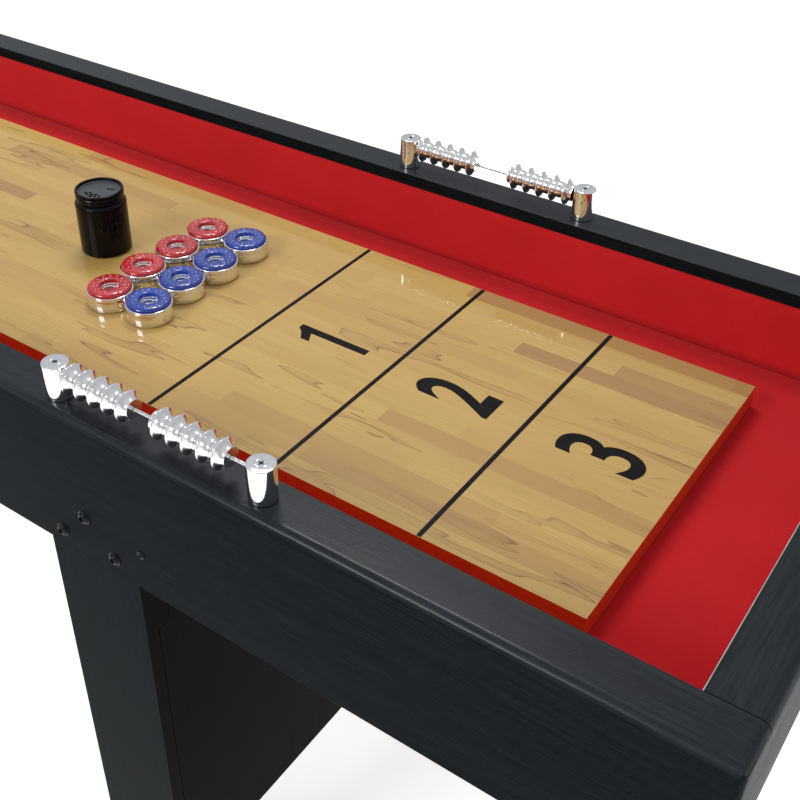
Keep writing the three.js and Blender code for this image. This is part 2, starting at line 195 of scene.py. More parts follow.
def laminate(name, grain_axis, side_dark, side_light, painted_sheen_dark, painted_sheen_light):
    """Black wood-grain laminate: long fine pores along one axis, glossier on level faces, and lighter and
    bluer there as a painted sheen for the bright ceiling they reflect.
    """
    paint = Paint(name, coat_roughness=0.16)
    pores = paint.noise(paint.place(along_grain(grain_axis, PORE_SCALE)), 2.6, 5, 0.7, 0.5)
    bands = paint.noise(paint.place(along_grain(grain_axis, BAND_SCALE)), 1.4, 3, 0.5, 1.2)
    streaks = paint.spread(pores, 0.40, 0.66)
    tone = paint.blend(bands, streaks, 0.45)
    side = paint.ramp(tone, [(0.2, side_dark), (0.8, side_light)])
    # Painted sheen: level faces, and the upper part of rounded edges, take a lighter, bluer copy of the
    # laminate's tones for the ceiling's reflection.
    top = paint.ramp(tone, [(0.2, painted_sheen_dark), (0.8, painted_sheen_light)])
    level = paint.spread(paint.split(paint.coordinates("Normal"))[2], 0.20, 0.75)
    height = paint.math("ADD", streaks, paint.math("MULTIPLY", bands, 0.3))
    return paint.finish(
        Base_color=paint.mix(level, side, top),
        Roughness=paint.spread(streaks, 0, 1, 0.30, 0.46),
        Normal=paint.bump(height, 0.00010, 0.45),
        Specular_IOR_Level=paint.spread(level, 0, 1, SIDE_SHINE, TOP_SHINE),
        Coat_Weight=paint.spread(level, 0, 1, 0.0, TOP_COAT),
    )


def raw_board(name):
    """Plain unpainted board with its grain along X."""
    paint = Paint(name, roughness=0.75)
    grain = paint.noise(paint.place((3, 60, 60)), 4, 5, 0.6, 0.8)
    colour = paint.ramp(grain, [(0.3, (0.30, 0.20, 0.11)), (0.7, (0.50, 0.37, 0.22))])
    return paint.finish(Base_color=colour, Normal=paint.bump(grain, 0.0004, 0.4))


STRIP_COUNT = 17
STRIP_LENGTH = 0.31
STRIP_SHIFT = 7.3
BOARD_SEED = 5.0
BOARD_TONES = (
    (0.0, (0.540, 0.360, 0.099)),
    (0.3, (0.505, 0.325, 0.090)),
    (0.55, (0.530, 0.345, 0.097)),
    (0.89, (0.475, 0.292, 0.084)),
    (0.92, (0.350, 0.188, 0.064)),
    (1.0, (0.378, 0.208, 0.073)),
)
GRAIN_BROWN = (0.37, 0.200, 0.062)
CLOUD_BROWN = (0.42, 0.250, 0.070)
MARK_BROWN = (0.215, 0.085, 0.030)
KNOT_BROWN = (0.17, 0.060, 0.022)
SEAM_BROWN = (0.27, 0.14, 0.045)
MARK_SHADES = ((0.597, 0.0), (0.605, 0.95), (0.622, 0.34), (0.70, 0.12))


def hooked_marks(paint, place, under):
    """A dark outline that fades inside a long thin blot, only in some places."""
    blot = paint.noise(paint.stretch(place, (7.0, 70, 1)), 1.0, 1, 0.3, 0.7)
    outline = paint.ramp(blot, [(position, (shade,) * 3) for position, shade in MARK_SHADES])
    region = paint.spread(paint.noise(paint.stretch(place, (2.0, 7, 1)), 1.3, 1), 0.47, 0.56)
    return paint.mix(paint.math("MULTIPLY", outline, region), under, MARK_BROWN)


def knots(paint, place, under):
    """Small dark knots where a cell's random size is large enough."""
    cell = paint.node("ShaderNodeTexVoronoi", {"Vector": paint.stretch(place, (4.2, 13, 1)), "Scale": 1.0})
    chance = paint.node("ShaderNodeTexWhiteNoise", {"Vector": cell.outputs["Color"]}).outputs["Value"]
    knot = paint.math("SUBTRACT", paint.spread(chance, 0.80, 1.0, 0.0, 0.06), cell.outputs["Distance"])
    return paint.mix(paint.spread(knot, 0.0, 0.03, 0.0, 0.75), under, KNOT_BROWN)


def strip_wood(name, width):
    """Glossy pine strips along X: each board has its own tone, fine grain, hooked marks and knots."""
    paint = Paint(name, coat_weight=0.55, coat_roughness=0.03, roughness=0.45, specular_ior_level=0.25)
    place = paint.coordinates("Object")
    x, y = paint.split(place)[:2]
    across = paint.math("MULTIPLY", paint.math("ADD", y, width / 2), STRIP_COUNT / width)
    strip = paint.math("FLOOR", across)
    row = paint.node("ShaderNodeTexWhiteNoise", {"W": strip}, noise_dimensions="1D").outputs["Value"]
    shift = paint.math("MULTIPLY", row, STRIP_SHIFT)
    board = paint.math("FLOOR", paint.math("ADD", paint.math("DIVIDE", x, STRIP_LENGTH), shift))
    key = paint.node("ShaderNodeCombineXYZ", {0: paint.math("ADD", strip, BOARD_SEED), 1: board}).outputs[0]
    chance = paint.node("ShaderNodeTexWhiteNoise", {"Vector": key}, noise_dimensions="2D")
    moved = paint.vector_math("MULTIPLY", chance.outputs["Color"], (9.0, 3.0, 5.0))
    local = paint.vector_math("ADD", place, moved)
    lines = paint.noise(paint.stretch(local, (6, 260, 1)), 2.0, 4, 0.6, 0.5)
    cloud = paint.noise(paint.stretch(local, (3, 14, 1)), 1.5, 2)
    honey = paint.ramp(chance.outputs["Value"], BOARD_TONES)
    grained = paint.mix(paint.spread(lines, 0.38, 0.72, 0.0, 0.34), honey, GRAIN_BROWN)
    clouded = paint.mix(paint.spread(cloud, 0.45, 0.75, 0.0, 0.35), grained, CLOUD_BROWN)
    knotted = knots(paint, place, hooked_marks(paint, place, clouded))
    edge = paint.math("ABSOLUTE", paint.math("SUBTRACT", paint.math("FRACT", across), 0.5))
    seam = paint.spread(edge, 0.485, 0.5, 0.0, 0.16)
    return paint.finish(Base_color=paint.mix(seam, knotted, SEAM_BROWN))


def edge_stain(name):
    """Orange-red stain on the playfield's side faces."""
    paint = Paint(name, roughness=0.45)
    cloud = paint.noise(paint.place((6, 6, 60)), 6, 3)
    colour = paint.ramp(cloud, [(0.3, (0.60, 0.068, 0.010)), (0.7, (0.76, 0.105, 0.016))])
    return paint.finish(Base_color=colour, Normal=paint.bump(cloud, 0.0002, 0.3))


SHEEN_TINT = (1.0, 0.35, 0.32, 1)
# Painted shade along the foot of the felt walls: how high up the wall it reaches, and how dark it gets.
CREASE_SHADE_HEIGHT = 0.16
CREASE_SHADE_SHARE = 0.4


def felt(name, dark, light, crease_shade=0.0):
    """Short red felt: fibres, a little nap, cloudy wear and an optional band of painted shade that darkens
    it towards the bottom, where the wall meets the floor.
    """
    paint = Paint(name, roughness=0.95, sheen_weight=0.15, sheen_roughness=0.5, specular_ior_level=0.2)
    paint.sockets["sheen_tint"].default_value = SHEEN_TINT
    fibres = paint.noise(paint.place(), 1500, 4, 0.7)
    nap = paint.noise(paint.place(), 260, 3, 0.6, 1.0)
    cloud = paint.noise(paint.place(), 9, 3)
    colour = paint.ramp(paint.blend(fibres, cloud, 0.45), [(0.3, dark), (0.7, light)])
    # Painted shade: the wall felt darkens towards its bottom, standing for the shade where the wall meets
    # the gutter floor.
    if crease_shade:
        level = paint.split(paint.coordinates("Generated"))[2]
        band = paint.spread(level, 0.0, CREASE_SHADE_HEIGHT, crease_shade, 0.0)
        colour = paint.mix(band, colour, tuple(CREASE_SHADE_SHARE * c for c in dark))
    height = paint.math("ADD", fibres, nap)
    return paint.finish(Base_color=colour, Normal=paint.bump(height, 0.0006, 0.5))


SMEAR_SCALE = (40, 40, 40)
LATHE_SCALE = (1900, 30, 30)
SMEAR_TINT = 0.94


def metal(name, colour, rough, lathe_marks=0.0):
    """Bare or plated metal with faint smears, and optional fine turning marks round the X axis."""
    paint = Paint(name, metallic=1.0)
    smear = paint.noise(paint.place(SMEAR_SCALE), 5, 4, 0.6)
    tint = paint.ramp(smear, [(0.3, tuple(SMEAR_TINT * c for c in colour)), (0.7, colour)])
    links = {"Base_color": tint, "Roughness": paint.spread(smear, 0.3, 0.7, *rough)}
    if lathe_marks:
        rings = paint.noise(paint.place(LATHE_SCALE), 1, 2)
        links["Normal"] = paint.bump(rings, lathe_marks, 0.5)
    return paint.finish(**links)


def moulded(name, dark, light, rough, coat=0.0, grit=0.0001, shine=0.5, coat_ior=1.5):
    """Moulded or painted surface: two close tones, a fine grit and an optional clear coat."""
    paint = Paint(name, coat_weight=coat, coat_roughness=0.06, coat_ior=coat_ior, specular_ior_level=shine)
    speckle = paint.noise(paint.place(), 420, 3, 0.6)
    cloud = paint.noise(paint.place(), 35, 3)
    return paint.finish(
        Base_color=paint.ramp(cloud, [(0.35, dark), (0.65, light)]),
        Roughness=paint.spread(cloud, 0.3, 0.7, *rough),
        Normal=paint.bump(speckle, grit, 0.25),
    )


SIDE_BLACKS = ((0.0042, 0.0062, 0.0070), (0.0098, 0.0134, 0.0150))
# Painted sheen: the laminate's level faces in lighter, bluer tones, standing for the bright ceiling they
# reflect.
PAINTED_SHEEN_BLACKS = ((0.0070, 0.0090, 0.0118), (0.0160, 0.0195, 0.0242))
PANEL_BLACKS = ((0.0022, 0.0022, 0.0023), (0.0056, 0.0056, 0.0058))
# The floor felt and the wall felt are one felt in two tones: the wall's copy is painted lighter than the
# floor's, standing for light and shade that differ between the two.
FLOOR_REDS = ((0.42, 0.008, 0.011), (0.56, 0.013, 0.017))
WALL_REDS = ((0.50, 0.010, 0.013), (0.64, 0.017, 0.021))
INK_BLACKS = ((0.004, 0.004, 0.004), (0.007, 0.007, 0.007))
CAP_BLUES = ((0.004, 0.027, 0.25), (0.007, 0.041, 0.33))
CAP_REDS = ((0.37, 0.006, 0.010), (0.49, 0.010, 0.016))
CAN_BLACKS = ((0.0016, 0.0016, 0.0018), (0.003, 0.003, 0.0033))
LID_GREYS = ((0.030, 0.034, 0.036), (0.050, 0.055, 0.058))
BOLT_BLACKS = ((0.003, 0.003, 0.0035), (0.006, 0.006, 0.007))
# Painted shade: near-black tones for the shaded cross recesses in the post screws.
RECESS_SHADE_BLACKS = ((0.004, 0.004, 0.005), (0.008, 0.008, 0.009))
BAND_GREYS = ((0.30, 0.30, 0.30), (0.42, 0.42, 0.42))
CAP_GLOSS = {"coat": 1.0, "grit": 0.00002, "shine": 0.2, "coat_ior": 1.6}


def make_finishes():
    low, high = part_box("playfield")
    tones = SIDE_BLACKS + PAINTED_SHEEN_BLACKS
    return {
        "laminate_x": laminate("laminate_along_x", 0, *tones),
        "laminate_y": laminate("laminate_along_y", 1, *tones),
        "laminate_z": laminate("laminate_along_z", 2, *tones),
        "panel": laminate("panel_laminate", 2, *PANEL_BLACKS, *PANEL_BLACKS),
        "board": raw_board("raw_board"),
        "strips": strip_wood("strip_wood", high.y - low.y),
        "stain": edge_stain("edge_stain"),
        "felt": felt("red_felt", *FLOOR_REDS),
        "wall_felt": felt("red_wall_felt", *WALL_REDS, crease_shade=0.55),
        "ink": moulded("black_paint", *INK_BLACKS, (0.35, 0.45), grit=0.00002, shine=0.08),
        "chrome": metal("chrome", (0.86, 0.87, 0.88), (0.04, 0.09)),
        "steel": metal("zinc_steel", (0.62, 0.63, 0.64), (0.22, 0.36)),
        "rod": metal("polished_rod", (0.80, 0.81, 0.82), (0.10, 0.16)),
        "aluminium": metal("turned_aluminium", (0.90, 0.90, 0.90), (0.13, 0.20), lathe_marks=0.00002),
        "cap_blue": moulded("blue_cap", *CAP_BLUES, (0.25, 0.35), **CAP_GLOSS),
        "cap_red": moulded("red_cap", *CAP_REDS, (0.25, 0.35), **CAP_GLOSS),
        "can": moulded("black_gloss", *CAN_BLACKS, (0.10, 0.15), grit=0.00003, shine=0.14),
        "lid": moulded("grey_black_satin", *LID_GREYS, (0.30, 0.40)),
        "bolt": moulded("black_oxide", *BOLT_BLACKS, (0.22, 0.30), coat=0.05, shine=0.16),
        "shadow": moulded("recess_black", *RECESS_SHADE_BLACKS, (0.5, 0.6)),
        "band": moulded("pale_band", *BAND_GREYS, (0.4, 0.5)),
    }


# ---------------------------------------------------------------- mesh helpers
POLE_RADIUS = 1e-7
BOX_QUADS = ((0, 1, 3, 2), (4, 6, 7, 5), (0, 4, 5, 1), (2, 3, 7, 6), (0, 2, 6, 4), (1, 5, 7, 3))


def piece(name, bm, materials, body, replaced=(), sharp_deg=35):
    """A finished mesh object from a bmesh, smooth up to sharp_deg, riding on a body."""
    mesh = bpy.data.meshes.new(name)
    bmesh.ops.recalc_face_normals(bm, faces=bm.faces)
    bm.to_mesh(mesh)
    bm.free()
    mesh.shade_smooth()
    mesh.set_sharp_from_angle(angle=math.radians(sharp_deg))
    made = bpy.data.objects.new(name, mesh)
    for material in materials if isinstance(materials, list) else [materials]:
        mesh.materials.append(material)
    bpy.context.scene.collection.objects.link(made)
    if replaced:
        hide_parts(*replaced)
    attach(made, body)
    return made


def ring_of_verts(bm, radius, height, segments, to_world):
    if radius < POLE_RADIUS:
        return [bm.verts.new(to_world @ Vector((0, 0, height)))]
    ring = []
    for i in range(segments):
        angle = 2 * math.pi * i / segments
        spot = Vector((radius * math.cos(angle), radius * math.sin(angle), height))
        ring.append(bm.verts.new(to_world @ spot))
    return ring


def lathe(bm, profile, segments, to_world, material_index=0):
    """Turns (radius, height) pairs about local Z; pairs of radius 0 become poles."""
    rings = [ring_of_verts(bm, radius, height, segments, to_world) for radius, height in profile]
    for low, high in zip(rings, rings[1:]):
        if len(low) == 1 and len(high) == 1:
            continue
        for i in range(segments):
            j = (i + 1) % segments
            if len(low) == 1:
                face = bm.faces.new((low[0], high[j], high[i]))
            elif len(high) == 1:
                face = bm.faces.new((low[i], low[j], high[0]))
            else:
                face = bm.faces.new((low[i], low[j], high[j], high[i]))
            face.material_index = material_index


def mm_profile(pairs):
    return [(radius * MM, height * MM) for radius, height in pairs]


def offset_pairs(radius, height, pairs):
    """(outward, upward) pairs measured from a radius and a height."""
    return [(radius + outward, height + upward) for outward, upward in pairs]


def rounded_corner(centre, radius, from_deg, to_deg, steps):
    corner = []
    for i in range(steps + 1):
        angle = math.radians(from_deg + (to_deg - from_deg) * i / steps)
        corner.append((centre[0] + radius * math.cos(angle), centre[1] + radius * math.sin(angle)))
    return corner


def slab(bm, low, high):
    ends = list(zip(low, high))
    verts = [bm.verts.new(Vector((x, y, z))) for x in ends[0] for y in ends[1] for z in ends[2]]
    for quad in BOX_QUADS:
        bm.faces.new([verts[i] for i in quad])


def bevel_edges(bm, width, segments=2, min_deg=30):
    """Eases every edge that turns by more than min_deg."""
    sharp = math.radians(min_deg)
    edges = [e for e in bm.edges if len(e.link_faces) == 2 and e.calc_face_angle(0) > sharp]
    shape = {"segments": segments, "profile": 0.5, "affect": "EDGES", "clamp_overlap": True}
    bmesh.ops.bevel(bm, geom=edges, offset=width, **shape)


def bake_modifiers(made):
    """Replaces the object's mesh with the one its modifiers make."""
    bpy.context.view_layer.update()
    graph = bpy.context.evaluated_depsgraph_get()
    made.data = bpy.data.meshes.new_from_object(made.evaluated_get(graph))
    made.modifiers.clear()


def level_shading(made):
    """Normals that follow the large flat faces, so only the eased edges shade as round."""
    weigh = made.modifiers.new("level", "WEIGHTED_NORMAL")
    weigh.weight = 100
    weigh.keep_sharp = True
    bake_modifiers(made)
    return made


def upright(place):
    return Matrix.Translation(place)


def along_x(place):
    return Matrix.Translation(place) @ Matrix.Rotation(math.radians(90), 4, "Y")


def node_size(node):
    """A node's length, width and height in millimetres."""
    low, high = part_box(node)
    return (high - low) / MM


def node_middle(node):
    low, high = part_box(node)
    return (low + high) / 2


def node_base(node):
    """The middle of a node's lower face."""
    low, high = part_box(node)
    return Vector(((low.x + high.x) / 2, (low.y + high.y) / 2, low.z))


# ---------------------------------------------------------------- cabinet and legs
BOARD_EDGE = 0.0008
PANEL_EDGE = 0.0006
FLAT_TURN = 1
BOARD_TURN = 40
BOARD_SHARP = 50
MERGE_GAP = 2e-5


def refined(node, material, edge=BOARD_EDGE):
    """A CAD board with its triangles merged into flat faces and its edges eased."""
    bm = bmesh.new()
    bm.from_mesh(nodes[node].data)
    bmesh.ops.remove_doubles(bm, verts=bm.verts, dist=MERGE_GAP)
    bmesh.ops.dissolve_limit(bm, angle_limit=math.radians(FLAT_TURN), verts=bm.verts, edges=bm.edges)
    bevel_edges(bm, edge, 2, BOARD_TURN)
    made = piece("finished_" + node, bm, material, nodes[node]["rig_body"], [node], BOARD_SHARP)
    return level_shading(made)


def add_leg(node, finishes):
    """A leg board whose narrow faces are darker than its wide ones."""
    leg = refined(node, finishes["laminate_z"])
    leg.data.materials.append(finishes["panel"])
    for face in leg.data.polygons:
        face.material_index = int(abs(face.normal.x) > 0.5)


def add_cabinet(finishes):
    for side in SIDES:
        refined("side_rail_" + side, finishes["laminate_x"])
    for end in ("left", "right"):
        refined("end_rail_" + end, finishes["laminate_y"])
        refined("leg_panel_" + end, finishes["panel"], PANEL_EDGE)
        refined("leg_cleat_" + end, finishes["board"])
        for side in SIDES:
            add_leg(f"leg_board_{side}_{end}", finishes)
    for node in ("cabinet_floor", "floor_batten_middle"):
        refined(node, finishes["board"])


# ---------------------------------------------------------------- playfield
PLAYFIELD_EDGE = 0.0007
PRINT_DEPTH = 0.0009
LINE_WIDTH = 4.8 * MM
LINE_INSET = 0.0006
ZONE_LENGTH = 158.75 * MM
ZONES = 3
PAINT_THICKNESS = 0.00012
DIGIT_HEIGHT = 88.5 * MM
DIGIT_WIDTH = 0.40
DIGIT_WEIGHTS = {2: 0.027, 3: 0.014}
DIGIT_OFFSET = 2.0 * MM
DIGIT_ONE = ((0, 0), (9.6, 0), (9.6, 88), (2.4, 88), (-3, 81), (-13.4, 74), (-13.4, 63), (0, 70))


def add_playfield(finishes):
    low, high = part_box("playfield")
    bm = bmesh.new()
    slab(bm, low, high)
    bevel_edges(bm, PLAYFIELD_EDGE, 3)
    for face in bm.faces:
        face.material_index = 0 if face.calc_center_median().z > high.z - PRINT_DEPTH else 1
    faces = [finishes["strips"], finishes["stain"]]
    board = piece("playfield_board", bm, faces, "table", ["playfield"], BOARD_SHARP)
    level_shading(board)


def playfield_ends():
    """Each end's name, the direction from it to the middle, and its edge's place."""
    low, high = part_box("playfield")
    return ("right", -1, high.x), ("left", 1, low.x)


def add_lines(finishes):
    low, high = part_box("playfield")
    for end, inward, edge in playfield_ends():
        for zone in range(1, ZONES + 1):
            middle = edge + inward * zone * ZONE_LENGTH
            near = (middle - LINE_WIDTH / 2, low.y + LINE_INSET, high.z)
            far = (middle + LINE_WIDTH / 2, high.y - LINE_INSET, high.z + PAINT_THICKNESS)
            bm = bmesh.new()
            slab(bm, near, far)
            piece(f"score_line_{end}_{zone}", bm, finishes["ink"], "table")


def font_digit(number):
    """A numeral's solid from Blender's own font, thickened a little."""
    curve = bpy.data.curves.new("digit", "FONT")
    curve.body = str(number)
    curve.offset = DIGIT_WEIGHTS[number]
    curve.resolution_u = 10
    curve.extrude = 0.5
    curve.fill_mode = "BOTH"
    holder = bpy.data.objects.new("digit", curve)
    bpy.context.scene.collection.objects.link(holder)
    bpy.context.view_layer.update()
    graph = bpy.context.evaluated_depsgraph_get()
    mesh = bpy.data.meshes.new_from_object(holder.evaluated_get(graph))
    bpy.data.objects.remove(holder)
    return mesh


def digit_solid(number):
    """A numeral as a flat solid one unit thick, in no particular size."""
    bm = bmesh.new()
    if number == 1:
        face = bm.faces.new([bm.verts.new((x, y, 0)) for x, y in DIGIT_ONE])
        grown = bmesh.ops.extrude_face_region(bm, geom=[face])["geom"]
        moved = [v for v in grown if isinstance(v, bmesh.types.BMVert)]
        bmesh.ops.translate(bm, vec=(0, 0, 1), verts=moved)
    else:
        bm.from_mesh(font_digit(number))
    bmesh.ops.remove_doubles(bm, verts=bm.verts, dist=1e-5)
    return bm


def digit_fit(bm, number):
    """Scales a numeral to its printed size and centres its lower face on the origin."""
    lows = [min(v.co[axis] for v in bm.verts) for axis in range(3)]
    highs = [max(v.co[axis] for v in bm.verts) for axis in range(3)]
    tall = DIGIT_HEIGHT / (highs[1] - lows[1])
    wide = tall if number == 1 else DIGIT_WIDTH * DIGIT_HEIGHT / (highs[0] - lows[0])
    thin = PAINT_THICKNESS / (highs[2] - lows[2])
    centre = Vector(((highs[0] + lows[0]) / 2, (highs[1] + lows[1]) / 2, lows[2]))
    return Matrix.Diagonal((wide, tall, thin, 1)) @ Matrix.Translation(-centre)


def add_digits(finishes):
    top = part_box("playfield")[1].z
    for end, inward, edge in playfield_ends():
        for number in range(1, ZONES + 1):
            bm = digit_solid(number)
            zone_middle = edge + inward * (ZONES - number + 0.5) * ZONE_LENGTH
            place = Matrix.Translation((zone_middle, -inward * DIGIT_OFFSET, top))
            turn = Matrix.Rotation(math.radians(-inward * 90), 4, "Z")
            bmesh.ops.transform(bm, matrix=place @ turn @ digit_fit(bm, number), verts=bm.verts)
            piece(f"numeral_{number}_{end}", bm, finishes["ink"], "table")


# ---------------------------------------------------------------- felt
FELT_WAVES = 14
FELT_SHARP = 60
WALL_FELT = {"step": 0.006, "rise": 0.00015, "edge_round": 0.0012}
FLOOR_FELT = {"step": 0.012, "rise": 0.0001, "edge_round": 0.0008}


def rim_of_grid(rows, columns):
    """The grid's border, one step after another."""
    return (
        [(i, 0) for i in range(rows)]
        + [(rows, j) for j in range(columns)]
        + [(i, columns) for i in range(rows, 0, -1)]
        + [(0, j) for j in range(columns, 0, -1)]
    )


def felt_block(low, high, face_axis, face_sign, step, rise, edge_round):
    """A felt-covered board: a fine grid on its showing face, crowned by rise and rounded at its rim."""
    bm = bmesh.new()
    axes = [a for a in range(3) if a != face_axis]
    size = [high[a] - low[a] for a in axes]
    counts = [max(2, round(length / step)) for length in size]
    front = high[face_axis] if face_sign > 0 else low[face_axis]
    back = low[face_axis] if face_sign > 0 else high[face_axis]

    def spot(i, j):
        point = [0.0, 0.0, 0.0]
        point[axes[0]] = low[axes[0]] + size[0] * i / counts[0]
        point[axes[1]] = low[axes[1]] + size[1] * j / counts[1]
        return point

    def showing(i, j):
        point = spot(i, j)
        inset = min(i, counts[0] - i) * size[0] / counts[0]
        inset = min(inset, min(j, counts[1] - j) * size[1] / counts[1])
        drop = edge_round * max(0.0, 1 - inset / edge_round) ** 2
        wave = noise.noise(Vector(point) * FELT_WAVES) * rise
        point[face_axis] = front - face_sign * (drop + rise + wave)
        return point

    def hidden(i, j):
        point = spot(i, j)
        point[face_axis] = back
        return point

    grids = []
    for place_at in (showing, hidden):
        rows = range(counts[0] + 1)
        grids.append([[bm.verts.new(place_at(i, j)) for j in range(counts[1] + 1)] for i in rows])
    for grid in grids:
        for i in range(counts[0]):
            for j in range(counts[1]):
                bm.faces.new((grid[i][j], grid[i + 1][j], grid[i + 1][j + 1], grid[i][j + 1]))
    rim = rim_of_grid(*counts)
    shown, backing = grids
    for (i, j), (k, m) in zip(rim, rim[1:] + rim[:1]):
        bm.faces.new((shown[i][j], shown[k][m], backing[k][m], backing[i][j]))
    return bm


def add_wall_felt(name, node, face_axis, face_sign, finishes):
    bm = felt_block(*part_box(node), face_axis, face_sign, **WALL_FELT)
    made = piece(name, bm, finishes["wall_felt"], "table", [node], FELT_SHARP)


def add_felt(finishes):
    for side, sign in (("front", 1), ("back", -1)):
        add_wall_felt("felt_wall_" + side, "side_pad_" + side, 1, sign, finishes)
    for end, sign in (("right", -1), ("left", 1)):
        add_wall_felt("felt_end_wall_" + end, "end_pad_" + end, 0, sign, finishes)
    low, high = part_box("gutter_carpet")
    bm = felt_block(low, high, 2, 1, **FLOOR_FELT)
    made = piece("felt_floor", bm, finishes["felt"], "table", ["gutter_carpet"], FELT_SHARP)


# ---------------------------------------------------------------- scorers, in millimetres
POST_CHAMFER = 0.4
POST_ROUND = 0.9
POST_SCREW_HEAD = ((5.6, 0), (5.3, -0.5), (5.0, -0.5), (4.8, -0.05), (0, -0.05))
CROSS_REACH = 2.7
CROSS_HALF_WIDTH = 0.85
CROSS_DEPTH = 0.3
CROSS_LIFT = 0.02
ROD_CHAMFER = 0.3


def add_cross(name, centre, finishes):
    """A dark cross of painted shade on a screw's head, standing for the shaded cross recess, a hair above
    the head so that it shows.
    """
    bm = bmesh.new()
    for half in ((CROSS_REACH, CROSS_HALF_WIDTH), (CROSS_HALF_WIDTH, CROSS_REACH)):
        low = (centre.x - half[0] * MM, centre.y - half[1] * MM, centre.z - CROSS_DEPTH * MM)
        slab(bm, low, (centre.x + half[0] * MM, centre.y + half[1] * MM, centre.z))
    piece(name, bm, finishes["shadow"], "table")


def add_post(side, end, finishes):
    """A round post with a screw's head sunk in its top."""
    node = f"scorer_post_{side}_{end}"
    radius = node_size(node).x / 2
    height = node_size(node).z
    base = node_base(node)
    profile = [(0, 0), (radius - POST_CHAMFER, 0), (radius, POST_CHAMFER)]
    profile += rounded_corner((radius - POST_ROUND, height - POST_ROUND), POST_ROUND, 0, 90, 4)
    profile += offset_pairs(0, height, POST_SCREW_HEAD)
    bm = bmesh.new()
    lathe(bm, mm_profile(profile), 72, upright(base))
    piece(f"chrome_post_{side}_{end}", bm, finishes["chrome"], "table", [node], 25)
    top = base + Vector((0, 0, (height + CROSS_LIFT) * MM))
    add_cross(f"post_screw_slot_{side}_{end}", top, finishes)


def add_rod(side, finishes):
    node = "scorer_rod_" + side
    radius = node_size(node).z / 2
    half = node_size(node).x / 2
    end = [(0, half), (radius - ROD_CHAMFER, half), (radius, half - ROD_CHAMFER)]
    profile = [(reach, -along) for reach, along in end] + end[::-1]
    bm = bmesh.new()
    lathe(bm, mm_profile(profile), 32, along_x(node_middle(node)))
    piece("steel_rod_" + side, bm, finishes["rod"], "table", [node], 30)


def add_posts(finishes):
    for side in SIDES:
        for end in ("left", "right"):
            add_post(side, end, finishes)
        add_rod(side, finishes)


BEAD_HUB = 9.3
BEAD_BORE = 2.0
BEAD_RIM_SIDE = (-0.15, 0.75)
BEAD_RIM_HALF = 0.4
BEAD_CONE_INSET = 0.5
BEAD_CONE_START = 1.0
BEAD_CONE_SHARE = 0.72
BEAD_CONE_POWER = 1.5
BEAD_CONE_STEPS = 8
BEAD_HUB_LENGTH = 2.9
BEAD_HUB_GROOVE = ((-0.5, -1.7), (-0.5, -1.3), (0, -0.9), (0, -0.35), (-0.35, 0))
BEAD_BORE_CHAMFER = ((0.4, 0), (0, -0.4))
BEADS = 10


def bead_cone(half, outer):
    """The hollow cone between a bead's rim and its hub."""
    cone = []
    for i in range(BEAD_CONE_STEPS + 1):
        t = i / BEAD_CONE_STEPS
        reach = outer - (outer - BEAD_HUB) * (1 - (1 - t) ** BEAD_CONE_POWER)
        cone.append((reach, BEAD_CONE_START + BEAD_CONE_SHARE * (half - BEAD_HUB_LENGTH) * t))
    return cone


def bead_profile(half, rim):
    """Rim, two hollow cones and grooved hubs, as a closed ring from bore to bore."""
    side = offset_pairs(rim, 0, (BEAD_RIM_SIDE,)) + bead_cone(half, rim - BEAD_CONE_INSET)
    side += offset_pairs(BEAD_HUB, half, BEAD_HUB_GROOVE)
    side += offset_pairs(BEAD_BORE, half, BEAD_BORE_CHAMFER)
    mirrored = [(reach, -along) for reach, along in reversed(side)]
    return mirrored + [(rim, -BEAD_RIM_HALF), (rim, BEAD_RIM_HALF)] + side


def add_beads(finishes):
    for side in SIDES:
        for number in range(1, BEADS + 1):
            node = f"bead_{side}_{number:02d}"
            profile = bead_profile(node_size(node).x / 2, node_size(node).y / 2)
            bm = bmesh.new()
            lathe(bm, mm_profile(profile + profile[:1]), 64, along_x(node_middle(node)))
            bmesh.ops.remove_doubles(bm, verts=bm.verts, dist=1e-6)
            piece("turned_" + node, bm, finishes["aluminium"], node, [node], 22)


# ---------------------------------------------------------------- pucks, in millimetres
PUCK_FOOT = ((0, 1.6), (18, 1.6), (19.5, 0))
PUCK_FOOT_ROUND = 1.8
PUCK_WAIST = ((0, 6), (-0.15, 10), (-0.5, 13.0), (-0.9, 14.2), (-0.9, 14.8), (0, 15.6), (0, 16.8))
PUCK_TOP_ROUND = 1.2
PUCK_DISH = ((9.7, 0), (9.3, -0.4), (9.0, -2.2), (0, -2.4))
PUCKS = 4
CAP_OUTER = 25.0
CAP_INNER = 10.0
CAP_BASE = 18.3
CAP_GAP = 0.05
CAP_LOW_EDGE = 1.3
CAP_STEPS = 16
CAP_STEEPNESS_OUTER = 2.6
CAP_STEEPNESS_INNER = 5.0
CAP_FULLNESS = 0.6
BUMP_RINGS = ((13.2, 11, 1.9), (17.8, 15, 2.1), (22.3, 20, 1.9))
BUMP_HEIGHT = 0.32
BUMP_SUNK = 0.05
BUMP_SHAPE = ((1, -0.3), (0.82, 0.45), (0.45, 0.86), (0, 1))
SLOPE_STEP = 0.3


def cap_height(reach, rise):
    """The ring cap's height over its base at a radius: a flattened crown with short upright edges."""
    half = (CAP_OUTER - CAP_INNER) / 2
    t = max(-1.0, min(1.0, (reach - CAP_INNER - half) / half))
    steepness = CAP_STEEPNESS_OUTER if t > 0 else CAP_STEEPNESS_INNER
    return CAP_LOW_EDGE + (rise - CAP_LOW_EDGE) * (1 - abs(t) ** steepness) ** CAP_FULLNESS


